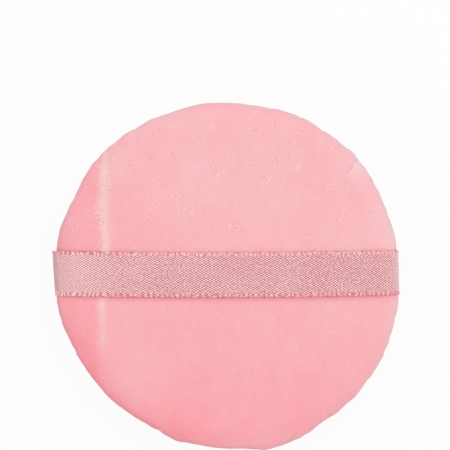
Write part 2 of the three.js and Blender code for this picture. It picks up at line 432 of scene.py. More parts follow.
def from_crease(points):
    """How far each point lies from the line of the crease, along X, and how strong the crease is there."""
    x, y = points[:, 0], points[:, 1]
    places, line = np.array(CREASE_LINE).T * MM
    first, last = places[0], places[-1]
    strength = smooth(first, first + CREASE_FADE, y) * (1 - smooth(last - CREASE_FADE, last, y))
    waver = noise_at(points * (0, 1, 0), CREASE_SPACING, CREASE_SEED)
    return x - np.interp(y, places, line), strength * (CREASE_STRENGTH + CREASE_WAVER * waver)


crease_gap, crease_strength = from_crease(turned_points)
print(f"The left end of the ribbon lies {ribbon_line(-rim_radius) / MM:.1f} mm off the X axis")
print(f"The crease is {np.ptp(CREASE_LINE, axis=0)[0]:.0f} mm long")

# %% Press the bed and raise the crease
BED_MARGIN = 2 * MM
SHOULDER_GAP, SHOULDER_WIDTH, SHOULDER_HEIGHT = 2.2 * MM, 1.6 * MM, 0.15 * MM
CREASE_WIDTH, CREASE_HEIGHT = 0.8 * MM, 0.35 * MM
CREASE_FLATTENED = 0.6  # under the ribbon
DIP_GAP, DIP_WIDTH, DIP_DEPTH = 3 * MM, 2.2 * MM, 0.15 * MM
LUMP_HEIGHT = 0.1 * MM
LUMPS = [(1.0, 16 * MM, 11.0), (0.5, 6 * MM, 17.0)]  # share, spacing and seed
TOP_SHARES = (0.72, 0.86)

shaped = stuffed_points.copy()
is_back = waist > ON_SEAM
beside_ribbon = np.abs(from_ribbon(turned_points)) - ribbon_width / 2
bed = (1 - smooth(0, BED_MARGIN, beside_ribbon)) * is_back
shaped += bed[:, None] * (turned_points - shaped)

shoulder = bell(beside_ribbon - SHOULDER_GAP, SHOULDER_WIDTH)
crease = crease_strength * bell(crease_gap, CREASE_WIDTH) * (1 - CREASE_FLATTENED * bed)
dip = crease_strength * bell(crease_gap + DIP_GAP, DIP_WIDTH) * (1 - bed)
lumps = sum(part * noise_at(turned_points, spacing, seed) for part, spacing, seed in LUMPS) * (1 - bed)
rise = SHOULDER_HEIGHT * shoulder + CREASE_HEIGHT * crease - DIP_DEPTH * dip + LUMP_HEIGHT * lumps
rise *= is_back * (1 - smooth(*TOP_SHARES, share))
shaped[:, 2] += rise
print(f"The strokes move the nap by {rise.min() / MM:.2f} to {rise.max() / MM:.2f} mm")

# %% Pinch the tuck and the seam, and give the rim its outline
TUCK_BEARING = 41  # degrees
TUCK_WIDTH = 1.3 * MM
TUCK_DEPTH = 0.25 * MM
TUCK_SHARES = (0.7, 0.8)
GATHER_SHARES = (0.74, 0.92)

tuck = bell(around_rim(turned_points, TUCK_BEARING), TUCK_WIDTH) * smooth(*TUCK_SHARES, share) * is_back
gathers = gather_shift(bearing) * smooth(*GATHER_SHARES, share) * (1 - bed)
shaped += outward * (gathers - TUCK_DEPTH * tuck)[:, None]
shaped = with_outline(shaped)
move_points(puff, shaped)
print(f"Rim now {np.hypot(shaped[:, 0], shaped[:, 1]).max() / MM:.1f} mm from the middle at most")

# %% [markdown]
# ## Two covers
# The puff is sewn from two discs, so the form is parted at its waist. Two covers swollen one by one would
# no longer meet there. The seam ring of each half is extruded inwards as the seam allowance, one level of
# subdivision rounds the small squares, and Solidify gives the velour its thickness on the inside, so the
# outer shape stays as it is.

# %% Part the form at the seam
bpy.ops.object.mode_set(mode="EDIT")
bpy.ops.mesh.select_mode(type="FACE")
bpy.ops.mesh.select_all(action="DESELECT")
bpy.ops.object.mode_set(mode="OBJECT")
for face in puff.data.polygons:
    face.select = np.mean(waist[list(face.vertices)]) > 0
bpy.ops.object.mode_set(mode="EDIT")
bpy.ops.mesh.separate(type="SELECTED")
bpy.ops.object.mode_set(mode="OBJECT")
velour_face = puff
velour_back = next(piece for piece in bpy.context.selected_objects if piece != puff)
velour_face.name = "velour_face"
velour_back.name = "velour_back"
print(f"Back {len(velour_back.data.polygons)} squares, face {len(velour_face.data.polygons)} squares")

# %% Open the seam for the ribbon
RIBBON_THICKNESS = 0.3 * MM
RIBBON_ROOM = 0.6 * RIBBON_THICKNESS  # on either side of the middle of the seam
ROOM_MARGIN = 1.5 * MM


def open_seam(piece, side):
    """Parts the two folds by the seam's gap, and by more where the ribbon lies between them."""
    points = points_of(piece)
    beside = 1 - smooth(ribbon_width / 2, ribbon_width / 2 + ROOM_MARGIN, np.abs(from_ribbon(points)))
    gap = seam_half_gap + RIBBON_ROOM * beside * (np.abs(points[:, 0]) > rim_radius / 2)
    near = 1 - smooth(0.0, fold_height, np.abs(points[:, 2] - seam_z))
    points[:, 2] += side * gap * near
    move_points(piece, points)
    print(f"{piece.name} is {gap.min() / MM:.2f} to {gap.max() / MM:.2f} mm from the middle of the seam")


open_seam(velour_back, 1)
open_seam(velour_face, -1)

# %% Turn the edge in, round it and give it thickness
TURN_STEPS = 3


def apply_modifier(piece, kind, **settings):
    modifier = piece.modifiers.new(kind.title(), kind)
    for name, value in settings.items():
        setattr(modifier, name, value)
    bpy.ops.object.modifier_apply(modifier=modifier.name)


def only(piece):
    """Makes one piece the active and only selected object."""
    bpy.ops.object.select_all(action="DESELECT")
    piece.select_set(True)
    bpy.context.view_layer.objects.active = piece


def turn_in(piece):
    only(piece)
    bpy.ops.object.mode_set(mode="EDIT")
    bpy.ops.mesh.select_mode(type="EDGE")
    bpy.ops.mesh.select_all(action="DESELECT")
    bpy.ops.mesh.select_non_manifold()
    start = fold_centre
    for step in range(TURN_STEPS):
        end = start - SEAM_ALLOWANCE / TURN_STEPS
        bpy.ops.mesh.extrude_region_move()
        bpy.ops.transform.resize(value=(end / start, end / start, 1), center_override=(0, 0, seam_z))
        start = end
    bpy.ops.object.mode_set(mode="OBJECT")
    edit_all(bpy.ops.mesh.normals_make_consistent, inside=False)
    edit_all(bpy.ops.mesh.faces_shade_smooth)
    apply_modifier(piece, "SUBSURF", levels=1, render_levels=1)
    apply_modifier(piece, "SOLIDIFY", thickness=COVER_THICKNESS, offset=-1)
    print(f"{piece.name}: {len(piece.data.polygons)} faces")


turn_in(velour_back)
turn_in(velour_face)

# %% [markdown]
# ## Filling
# Inside lie a disc of foam and a layer of wadding on either side of it. Cylinders would be quicker, but
# their corners would show through the rim, so these are cut cubes laid along half-sections too: closed
# cushions that follow the outline of the puff. Nobody sees them until a cover is taken off.

# %% Foam disc
FILLING_CUTS = 24
FOAM_EDGE_RADIUS = 1.5 * MM
FOAM_GRAIN, FOAM_SPACING, FOAM_SEED = 0.05 * MM, 2 * MM, 23.0
foam_low, foam_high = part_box("foam_core")


def settle(piece, grain, spacing, seed):
    """Follows the outline, and roughens the surface as cut foam or loose fibre is."""
    only(piece)
    apply_modifier(piece, "SUBSURF", levels=1, render_levels=1)
    points = with_outline(points_of(piece))
    normals = np.empty(3 * len(points))
    piece.data.vertices.foreach_get("normal", normals)
    dent = noise_at(points, spacing, seed) - 1
    move_points(piece, points + grain * dent[:, None] * normals.reshape(-1, 3))
    print(f"{piece.name}: {len(piece.data.polygons)} faces")


foam_edge = foam_high[0] - FOAM_EDGE_RADIUS
foam_top = arc(foam_edge, foam_high[2] - FOAM_EDGE_RADIUS, FOAM_EDGE_RADIUS, math.pi / 2, 0)
foam_bottom = arc(foam_edge, foam_low[2] + FOAM_EDGE_RADIUS, FOAM_EDGE_RADIUS, -math.pi / 2, 0)
foam_waist = (foam_high[0], (foam_low[2] + foam_high[2]) / 2)
upper = Section((0, foam_high[2]), foam_top, foam_waist)
lower = Section((0, foam_low[2]), foam_bottom, foam_waist)
foam_disc = soft_ball("foam_disc", upper, lower, FILLING_CUTS)[0]
settle(foam_disc, FOAM_GRAIN, FOAM_SPACING, FOAM_SEED)

# %% Two layers of wadding
CLEARANCE = 0.3 * MM  # between pieces that lie on each other
THREAD_THICKNESS = 0.4 * MM
WADDING_GRAIN, WADDING_SPACING = 0.15 * MM, 5 * MM
BACK_SEED, FACE_SEED = 29.0, 31.0
filling_inset = COVER_THICKNESS + CLEARANCE
allowance_edge = fold_centre - SEAM_ALLOWANCE
allowance_top = seam_half_gap + COVER_THICKNESS


def wadding_ball(name, shape, foam_height):
    foot = max(fold_height, allowance_top + THREAD_THICKNESS + 2 * CLEARANCE)
    foot_angle = math.asin((foot - fold_height) / (shape.rim - filling_inset))
    outside = shape.crown_to_rim(filling_inset, foot_angle)
    rest = foam_height + CLEARANCE
    outer = shape.section(outside)
    under = shape.section((0, rest), (allowance_edge, rest), (allowance_edge, foot), outside[-1])
    upper, lower = (outer, under) if shape.side > 0 else (under, outer)
    return soft_ball(name, upper, lower, FILLING_CUTS)[0]


back_filling = wadding_ball("back_filling", back_shape, foam_high[2] - seam_z)
face_filling = wadding_ball("face_filling", face_shape, seam_z - foam_low[2])
settle(back_filling, WADDING_GRAIN, WADDING_SPACING, BACK_SEED)
settle(face_filling, WADDING_GRAIN, WADDING_SPACING, FACE_SEED)

# %% [markdown]
# ## The ribbon
# One length of woven ribbon lies over the back, turns down round the rim on both sides and goes into the
# seam. It could be draped by the cloth simulation too, but a ribbon bends only along its length, so a
# fine grid laid along a path of arcs is enough and stays even. At its edges the weft turns back in small
# loops. That is the selvedge, and here it stands as beads in the mesh.

# %% The path of the ribbon, seen from its edge
RIBBON_STANDOFF = 0.12 * MM  # from the nap to the underside of the ribbon
RIBBON_END_INSET = 1 * MM  # from the cut edge of the covers
ribbon_lift = RIBBON_STANDOFF + RIBBON_THICKNESS / 2
ribbon_end = allowance_edge + RIBBON_END_INSET

# From the middle of the crown to the end in the seam, as distance from the middle and height.
over_back = back_shape.crown_to_rim(-ribbon_lift)
round_rim = arc(rim_radius + ribbon_lift - fold_height, fold_height, fold_height, 0, -math.pi / 2)
half_path = Section(over_back + (0, seam_z), round_rim + (0, seam_z), (ribbon_end, seam_z))

# %% Where each point of the ribbon comes to lie
SELVEDGE_WIDTH = 1.0 * MM
BEAD_PITCH = 1.5 * MM
BEAD_HEIGHT = 0.14 * MM
BEAD_SWING = 0.6  # the share of that height that rises and falls along the edge
BEAD_SPREAD = 0.06 * MM  # sideways
RIBBON_SLACK = 0.08 * MM  # the rise of the middle between the two edges
RIBBON_DRAW_IN = 0.3 * MM  # the ribbon is that much narrower than its pattern
LEFT_SLANT, LEFT_SLANT_START = 0.8 * MM, 1.1
RIGHT_DRAW = 0.15  # mm more than the rim is pulled in there
SLOPE_STEP = 1e-4


def along_path(along, lift):
    """Distance from the middle and height, at a share of the path from 0 to 1 and a lift off it."""
    reach, height = half_path.at(along)
    slope = half_path.at(np.minimum(along + SLOPE_STEP, 1)) - half_path.at(np.maximum(along - SLOPE_STEP, 0))
    slope /= np.linalg.norm(slope, axis=0)
    return reach - slope[1] * lift, height + slope[0] * lift


def ribbon_points(along, across):
    """Along and across run from -1 to 1 over the length and the width of the ribbon."""
    half_width = ribbon_width / 2
    edge = smooth(half_width - SELVEDGE_WIDTH, half_width - SELVEDGE_WIDTH / 2, np.abs(across) * half_width)
    bead = 0.5 + 0.5 * np.cos(FULL_TURN * along * half_path.length / BEAD_PITCH + math.pi * (across > 0))
    puffed = edge * (1 - BEAD_SWING + BEAD_SWING * bead) * BEAD_HEIGHT
    reach, z = along_path(np.abs(along), puffed + RIBBON_SLACK * np.cos(math.pi * across / 2))
    y = across * (half_width - RIBBON_DRAW_IN / 2 + BEAD_SPREAD * bead * edge)
    left = along < 0
    points = with_outline(np.stack([np.where(left, -reach, reach), y, z], axis=1), dented=False)
    pull = np.where(left, LEFT_SLANT * (across - LEFT_SLANT_START) / 2, (RIGHT_PULL + RIGHT_DRAW) * MM)
    points[:, 0] -= pull * smooth(*RIM_ZONE, np.abs(points[:, 0]))
    points[:, 1] += ribbon_line(points[:, 0])
    return points


top_edge = ribbon_points(np.zeros(1), np.ones(1))[0]
print(f"Edge of the ribbon in the middle: {top_edge[1] / MM:.1f} mm out, {top_edge[2] / MM:.1f} mm up")

# %% A fine grid along the path
RIBBON_STEPS = 720
RIBBON_ROWS = 36

bpy.ops.object.select_all(action="DESELECT")
bpy.ops.mesh.primitive_grid_add(x_subdivisions=RIBBON_STEPS, y_subdivisions=RIBBON_ROWS, size=2)
woven_ribbon = bpy.context.object
woven_ribbon.name = "woven_ribbon"
edit_all(bpy.ops.mesh.faces_shade_smooth)
along, across, _ = points_of(woven_ribbon).T
weave = woven_ribbon.data.uv_layers.active or woven_ribbon.data.uv_layers.new(name="weave")
corners = np.empty(len(woven_ribbon.data.loops), dtype=int)
woven_ribbon.data.loops.foreach_get("vertex_index", corners)
metres = np.stack([along * half_path.length, across * ribbon_width / 2], axis=1)
weave.data.foreach_set("uv", metres[corners].ravel())
move_points(woven_ribbon, ribbon_points(along, across))
only(woven_ribbon)
apply_modifier(woven_ribbon, "SOLIDIFY", thickness=RIBBON_THICKNESS, offset=0)
print(f"{woven_ribbon.name}: {len(woven_ribbon.data.polygons)} faces")

# %% [markdown]
# ## Sewing thread
# Two kinds of stitch hold the puff together. The machine's lockstitch runs round the rim inside: a needle
# thread above the two turned-in edges and a bobbin thread below them, which meet between the layers. The
# gap that the filling went in through is shut by hand, with a slip stitch that zigzags between the folds.
# The thread is two twisted plies. One tube with a bump would be lighter, but two tubes catch the light as
# thread does: they are curves with a round bevel, made a mesh.

# %% Two twisted plies along a route
PLY_TWIST = 1.2 * MM
PLY_RADIUS = THREAD_THICKNESS / 4
THREAD_STEPS = 16  # points in each stitch


def ply_strands(route, closed):
    """The length along the route at its points, and the points of two plies that wind round it."""
    middle = with_outline(route)
    outwards = route * (1, 1, 0) / np.linalg.norm(route[:, :2], axis=1, keepdims=True)
    along = np.roll(middle, -1, axis=0) - np.roll(middle, 1, axis=0)
    if not closed:
        along[0] = middle[1] - middle[0]
        along[-1] = middle[-1] - middle[-2]
    along /= np.linalg.norm(along, axis=1, keepdims=True)
    across = np.cross(along, outwards)
    steps = np.linalg.norm(middle - np.roll(middle, 1, axis=0), axis=1)
    length = np.cumsum(steps) - steps[0]
    whole = length[-1] + closed * steps[0]
    turns = (FULL_TURN * round(whole / PLY_TWIST) * length / whole)[:, None]
    winds = [np.cos(turns + ply) * outwards + np.sin(turns + ply) * across for ply in (0, math.pi)]
    return length, [middle + PLY_RADIUS * wind for wind in winds]


def twisted_thread(name, route, closed):
    length, strands = ply_strands(route, closed)
    data = bpy.data.curves.new(name, "CURVE")
    data.dimensions = "3D"
    data.bevel_depth = PLY_RADIUS
    data.bevel_resolution = 1
    data.use_fill_caps = not closed
    for strand in strands:
        spline = data.splines.new("POLY")
        spline.points.add(len(strand) - 1)
        spline.points.foreach_set("co", np.c_[strand, np.ones(len(strand))].ravel())
        spline.use_cyclic_u = closed
    thread = bpy.data.objects.new(name, data)
    bpy.context.scene.collection.objects.link(thread)
    only(thread)
    bpy.ops.object.convert(target="MESH")
    print(f"{name}: {length[-1] / MM:.0f} mm of thread, {len(thread.data.polygons)} faces")
    return bpy.context.object


print(f"Each ply is {2 * PLY_RADIUS / MM:.1f} mm thick and winds once in {PLY_TWIST / MM:.1f} mm")

# %% Lockstitch round the rim
RIM_STITCH_LENGTH = 2.5 * MM
DIVE_SHARPNESS = 8
rim_stitch_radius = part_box("rim_needle_thread")[1][0] - THREAD_THICKNESS / 2


def lockstitch_route(side):
    """Flat along the turned-in edge, with a dive to the middle of the seam at the end of each stitch."""
    count = round(FULL_TURN * rim_stitch_radius / RIM_STITCH_LENGTH)
    stitch = np.arange(count * THREAD_STEPS) / THREAD_STEPS
    dive = np.abs(np.cos(math.pi * stitch)) ** DIVE_SHARPNESS
    flat = allowance_top + THREAD_THICKNESS / 2
    height = flat - (flat - THREAD_THICKNESS / 2) * dive
    angle = FULL_TURN * stitch / count
    x, y = rim_stitch_radius * np.cos(angle), rim_stitch_radius * np.sin(angle)
    return np.stack([x, y, seam_z + side * height], axis=1)


needle_stitches = twisted_thread("needle_stitches", lockstitch_route(1), True)
bobbin_stitches = twisted_thread("bobbin_stitches", lockstitch_route(-1), True)

# %% Slip stitch over the closing
CLOSING_BEARING = 251  # degrees
CLOSING_LENGTH = 30 * MM
CLOSING_STITCH_LENGTH = 3 * MM
CLOSING_DEPTH = 0.2 * MM
CLOSING_SWING = 0.6 * MM
SWING_SHARPNESS = 0.96
SWING_DEPTH = 0.15 * MM

count = int(CLOSING_LENGTH / CLOSING_STITCH_LENGTH)
stitch = np.linspace(0, count, count * THREAD_STEPS + 1)
swing = np.arcsin(SWING_SHARPNESS * np.sin(math.pi * (stitch - 0.5))) / (math.pi / 2)
angle = math.radians(CLOSING_BEARING) + (stitch / count - 0.5) * CLOSING_LENGTH / rim_radius
radius = rim_radius - CLOSING_DEPTH - SWING_DEPTH * np.abs(swing)
height = seam_z + CLOSING_SWING * swing
slip_stitch = np.stack([radius * np.cos(angle), radius * np.sin(angle), height], axis=1)
closing_stitches = twisted_thread("closing_stitches", slip_stitch, False)

# %% [markdown]
# ## Writing finishes as expressions
# A node tree that is drawn by hand is hard to read back. Here one small class stands for an output
# socket, so that a sum of two sockets adds its Math node, and one method adds any other node. The
# methods after it are short names for nodes that come up often.


# %% Sockets that can be reckoned with
class Wire:
    """An output socket. Sums, differences and products of wires add Math nodes."""

    def __init__(self, finish, socket):
        self.finish = finish
        self.socket = socket

    def math(self, operation, *others):
        return self.finish.node("ShaderNodeMath", {"operation": operation}, self, *others)

    def __add__(self, other):
        return self.math("ADD", other)

    def __sub__(self, other):
        return self.math("SUBTRACT", other)

    def __rsub__(self, other):
        return self.finish.node("ShaderNodeMath", {"operation": "SUBTRACT"}, other, self)

    def __mul__(self, other):
        return self.math("MULTIPLY", other)

    def __neg__(self):
        return self * -1.0

    def __abs__(self):
        return self.math("ABSOLUTE")

    __radd__ = __add__
    __rmul__ = __mul__


def srgb(red, green, blue):
    """A colour as a paint program shows it, 0 to 255, made linear for a shader."""
    shown = [c / 255 for c in (red, green, blue)]
    return (*(c / 12.92 if c <= 0.04045 else ((c + 0.055) / 1.055) ** 2.4 for c in shown), 1.0)


print(f"Half grey is {srgb(128, 128, 128)[0]:.2f} to a shader")


# %% A node tree that is written as expressions
class Finish:
    """One tree. Nodes are added to it by calls, and what a call gives back is fed to the next."""

    def __init__(self, tree):
        self.tree = tree

    def node(self, kind, settings=None, *values, output=None, **named):
        """Adds a node: its settings, then its sockets in order or by name. Gives one output or several."""
        made = self.tree.nodes.new(kind)
        for name, value in (settings or {}).items():
            setattr(made, name, value)
        shown = [socket for socket in made.inputs if socket.enabled]
        for socket, value in zip(shown, values):
            self.feed(socket, value)
        for name, value in named.items():
            self.feed(made.inputs[name], value)
        if isinstance(output, tuple):
            return [Wire(self, made.outputs[name]) for name in output]
        first = next((socket for socket in made.outputs if socket.enabled), None)
        return Wire(self, made.outputs[output] if output else first)

    def feed(self, socket, value):
        if isinstance(value, Wire):
            self.tree.links.new(value.socket, socket)
        else:
            socket.default_value = value

    def coordinates(self, kind):
        return self.node("ShaderNodeTexCoord", output=kind)

    def parts(self, vector, names):
        return self.node("ShaderNodeSeparateXYZ", None, vector, output=names)

    def dot(self, first, second):
        settings = {"operation": "DOT_PRODUCT"}
        return self.node("ShaderNodeVectorMath", settings, first, second, output="Value")

    def attribute(self, name):
        return self.node("ShaderNodeAttribute", {"attribute_name": name}, output="Fac")

    def noise(self, place, scale, detail=2.0, roughness=0.5):
        """A noise between 0 and 1, with its spots about 1 / scale metres apart."""
        sockets = {"Vector": place, "Scale": scale, "Detail": detail, "Roughness": roughness}
        return self.node("ShaderNodeTexNoise", None, **sockets)

    def ripple(self, place, *noise):
        """The same noise on either side of 0."""
        return self.noise(place, *noise) - 0.5

    def mix(self, factor, first, second):
        return self.node("ShaderNodeMix", {"data_type": "RGBA"}, factor, first, second)

    def stretch(self, value, low, high):
        """0 where the value is at low and 1 where it is at high."""
        return self.node("ShaderNodeMapRange", None, value, low, high, 0.0, 1.0)

    def ramp(self, value, stops):
        """The colour at that value between stops, each a place from 0 to 1 and its colour."""
        colour = self.node("ShaderNodeValToRGB", None, value)
        ramp = colour.socket.node.color_ramp.elements
        while len(ramp) < len(stops):
            ramp.new(1.0)
        for stop, (place, shade) in zip(ramp, stops):
            stop.position = place
            stop.color = shade
        return colour


print("Short names:", ", ".join(name for name in vars(Finish) if not name.startswith("_")))


# %% The finish of a piece
class PieceFinish(Finish):
    """A material with a Principled shader: even values are set on its sockets, the others are fed."""

    def __init__(self, name, even):
        self.material = bpy.data.materials.new(name)
        self.material.use_nodes = True
        super().__init__(self.material.node_tree)
        self.surface = self.tree.nodes["Principled BSDF"].inputs
        for socket, value in even.items():
            self.surface[socket].default_value = value

    def tell(self, step):
        print(f"{step}: {len(self.tree.nodes)} nodes")

    def cover(self, colour, height, strength, distance):
        """Feeds the colour, and the height as a bump of that strength and distance."""
        bump = self.node("ShaderNodeBump", None, Strength=strength, Distance=distance, Height=height)
        self.feed(self.surface["Base Color"], colour)
        self.feed(self.surface["Normal"], bump)
        self.tell(f"{self.material.name}, complete")


print("For a piece:", ", ".join(name for name in vars(PieceFinish) if not name.startswith("_")))

# %% [markdown]
# ## Velour
# Velour is a knitted ground with a short cut pile. The pile leans, so cloth that tilts one way shows the
# deep colour between the fibres and cloth that tilts the other way their pale sides, and one side of the
# puff is a deeper pink than the other. The same tilt also paints light: paler where the surface faces right,
# deeper where it faces left. A picture of cloth would bring its own light with it, so the colour is reckoned
# from the place and tilt of the surface, with noise at a few sizes. Attributes on the points say where the
# nap is worn pale along the crease, where a painted sheen lies on the right rim, where a painted shadow runs
# below the ribbon, where the nap leans deeper or paler, and where the tuck lies. Last comes the greyish
# bloom of pile that is seen from its side round the rim, with painted shade on the side away from the lamp
# and a painted sheen on the side towards it.

# %% Strokes on the nap
# Strokes along the rim: bearing in degrees, then width and the radii where they set in, in mm.
RIM_STROKES = {
    # The stroke at 12 degrees paints a pale sheen on the right rim.
    "rubbed": (12, 15, 46.5, 49.5),
    "tucked": (TUCK_BEARING, 5, 40, 43),
    "drawn": (231, 14, 45.5, 48.5),
    "shaded": (82, 28, 46, 49),
    "sagging": (CLOSING_BEARING, 7, 36, 46),
}
# Strokes to the right of the crease: distance from it, width, place along it and length, in mm.
CREASE_STROKES = {
    "brushed": (9, 8, -28, 10),
    "stroked": (8, 9, 13, 11),
}
FOLDED_GAP = (-2.5 * MM, 0.5 * MM)  # to the left of the crease
GRAZES = [(-35.1 * MM, 26.7 * MM), (-36.6 * MM, 16.6 * MM)]
GRAZE_WIDTH, GRAZE_LENGTH = 1.5 * MM, 2.2 * MM
WORN_WIDTH, WORN_SPREAD = 1.05 * MM, 0.6 * MM  # along the crease, and what is added where it is widest
WIDEST_PLACE, WIDEST_LENGTH = 19 * MM, 7 * MM
WORN_LESS, LESS_PLACES = 0.3, (-14 * MM, -2 * MM)  # towards the lower end
# A painted shadow on the nap along the lower edge of the ribbon.
RIBBON_SHADOW_GAP, RIBBON_SHADOW_WIDTH = 0.4 * MM, 0.9 * MM  # along the lower edge of the ribbon


def strokes_on(points):
    x, y = points[:, 0], points[:, 1]
    gap, strength = from_crease(points)
    strokes = {"folded": 1 - smooth(*FOLDED_GAP, gap)}
    for name, (at, width, start, end) in RIM_STROKES.items():
        strokes[name] = bell(around_rim(points, at), width * MM) * smooth(start, end, np.hypot(x, y) / MM)
    for name, (distance, width, at, length) in CREASE_STROKES.items():
        strokes[name] = bell(gap / MM - distance, width) * bell(y / MM - at, length)
    worn_width = WORN_WIDTH + WORN_SPREAD * bell(y - WIDEST_PLACE, WIDEST_LENGTH)
    worn_less = WORN_LESS * (1 - smooth(*LESS_PLACES, y))
    strokes["worn"] = strength * (1 - worn_less) * bell(gap, worn_width)
    strokes["grazed"] = sum(bell(x - at, GRAZE_WIDTH) * bell(y - up, GRAZE_LENGTH) for at, up in GRAZES)
    strokes["parted"] = bell(from_ribbon(points) + ribbon_width / 2 + RIBBON_SHADOW_GAP, RIBBON_SHADOW_WIDTH)
    return strokes


print("Strokes:", ", ".join(strokes_on(turned_points)))

# %% Mark the covers
# How far each stroke leans the nap: above 0 to its pale side, below 0 to its deep side.
LEANS = {"brushed": 0.1, "stroked": -0.2, "folded": -0.2, "sagging": -0.15, "drawn": -0.2, "shaded": -0.1}
RIM_SHEEN_SHARE = 0.4


def mark_nap(piece):
    points = points_of(piece)
    z = points[:, 2] - seam_z
    top = smooth(fold_height, back_depth - CROWN_RISE, z)
    above = smooth(fold_height, 2 * fold_height, z)
    strokes = strokes_on(points)
    marks = {
        # Pale marks: worn nap along the crease, and a painted sheen on the right rim.
        "pressed": strokes["worn"] * above + RIM_SHEEN_SHARE * strokes["rubbed"],
        "parted": strokes["parted"] * top,
        "lean": sum(amount * strokes[name] for name, amount in LEANS.items()) * above,
        "grazed": strokes["grazed"] * top,
        "tucked": strokes["tucked"] * (z > 0),
    }
    for name, values in marks.items():
        layer = piece.data.attributes.new(name, "FLOAT", "POINT")
        layer.data.foreach_set("value", np.ascontiguousarray(values))
        print(f"{piece.name}: {name} from {values.min():.2f} to {values.max():.2f}")


mark_nap(velour_back)
mark_nap(velour_face)

# %% Deep and pale sides of the nap, and painted light by the tilt of the surface
SHEEN = srgb(255, 214, 218)
NAP = {"Roughness": 0.95, "Specular IOR Level": 0.1, "Sheen Weight": 0.3, "Sheen Roughness": 0.4}
# Noises: spots to the metre, detail and roughness.
CLOUDS, PATCHES, SPECKS = (60, 2.0), (200, 3.0), (1700, 2.0, 0.7)
STREAK_SCALE = (700, 90, 300)
CLOUD_SHARE, PATCH_SHARE, STREAK_SHARE, SPECK_SHARE = 0.32, 0.24, 0.12, 0.15
NAP_AND_LIGHT_SIDE = Vector((0.9, 0.1, 0.0))
UPWARD = Vector((0.12, 1.0, 0.0)) / rim_radius
EVEN_LEAN, NAP_AND_LIGHT_SHARE, UPWARD_SHARE, UPWARD_MOST = 0.56, 0.2, 0.32, 0.2
NAP_STOPS = [
    (0.0, srgb(255, 151, 161)),
    (0.3, srgb(253, 170, 178)),
    (0.6, srgb(250, 186, 191)),
    (0.95, srgb(246, 205, 207)),
]

velour = PieceFinish("velour", {**NAP, "Sheen Tint": SHEEN})
place = velour.coordinates("Object")
normal = velour.coordinates("Normal")
clouds, patches, specks = (velour.ripple(place, *noise_size) for noise_size in (CLOUDS, PATCHES, SPECKS))
streaks = velour.ripple(velour.node("ShaderNodeMapping", None, Vector=place, Scale=STREAK_SCALE), 1.0)
mottle = clouds * CLOUD_SHARE + patches * PATCH_SHARE + streaks * STREAK_SHARE + specks * SPECK_SHARE
# Nap lean and painted light: surfaces that tilt to the right are painted paler, those that tilt to the left
# deeper.
nap_and_light_tilt = velour.dot(normal, NAP_AND_LIGHT_SIDE)
# Paler towards the top of the puff, up to a limit.
upward = velour.dot(place, UPWARD)
lean = upward.math("MINIMUM", UPWARD_MOST) * UPWARD_SHARE + EVEN_LEAN + nap_and_light_tilt * abs(nap_and_light_tilt) * NAP_AND_LIGHT_SHARE
colour = velour.ramp(lean + velour.attribute("lean") + mottle, NAP_STOPS)
velour.tell("With the lean of the nap")

# %% Specks in clusters, more of them in the upper half
CLUSTERS, CLUSTER_LEVELS = (330, 1.0), (0.58, 0.7)
UPPER_HALF, LOWER_SHARE = (-0.4, 0.2), 0.3
SPECK_EVEN, SPECK_GAIN = 0.3, 2.2
SPECK_PALE = srgb(255, 232, 228)
SPECK_DEEP = srgb(226, 148, 158)

grazed = velour.attribute("grazed")
upper_share = LOWER_SHARE + velour.stretch(upward, *UPPER_HALF) * (1 - LOWER_SHARE)
clusters = velour.stretch(velour.noise(place, *CLUSTERS), *CLUSTER_LEVELS) * upper_share + grazed
sparkle = specks * (SPECK_EVEN + clusters * SPECK_GAIN)
colour = velour.mix(sparkle, colour, SPECK_PALE)
colour = velour.mix(-sparkle, colour, SPECK_DEEP)
velour.tell("With specks")

# %% Nap worn pale along the crease, and a painted sheen on the right rim
PALE_EVEN, PALE_PATCHES = 0.82, 1.2
PALE_SPECKS, GRAZED_SPECKS, GRAZED_BESIDE = 2.0, 5.0, 2.5
PALE_GREY = srgb(240, 211, 206)
PALE_PINK = srgb(249, 214, 213)
PALE_LEVELS = (-0.15, 0.15)

speckled = specks * (PALE_SPECKS + grazed * GRAZED_SPECKS)
rubbed = velour.attribute("pressed") * (PALE_EVEN + speckled + patches * PALE_PATCHES)
pale = velour.mix(velour.stretch(clouds, *PALE_LEVELS), PALE_GREY, PALE_PINK)
colour = velour.mix(rubbed + grazed * specks * GRAZED_BESIDE, colour, pale)
velour.tell("With rubbed nap")

# %% The tuck: a short line with a lit slope beside it
TUCK_PLACE = (34.7 * MM, 30.4 * MM, 0.0)
TUCK_TURN = math.radians(47)
TUCK_WAVER = 1.2 * MM
LINE_WIDTH = (0.25 * MM, 0.08 * MM)
LINE_SHIFT, LINE_LENGTH = 0.3 * MM, (2.0 * MM, 1.2 * MM)
SLOPE_START, SLOPE_END, SLOPE_LENGTH = (0.1 * MM, -0.3 * MM), (-5 * MM, -0.5 * MM), (-2.4 * MM, 1.5 * MM)
LIT_SHARE, LINE_SHARE = 0.75, 0.36
LIT_NAP = srgb(240, 214, 216)
LINE_SHADE = srgb(214, 142, 152)

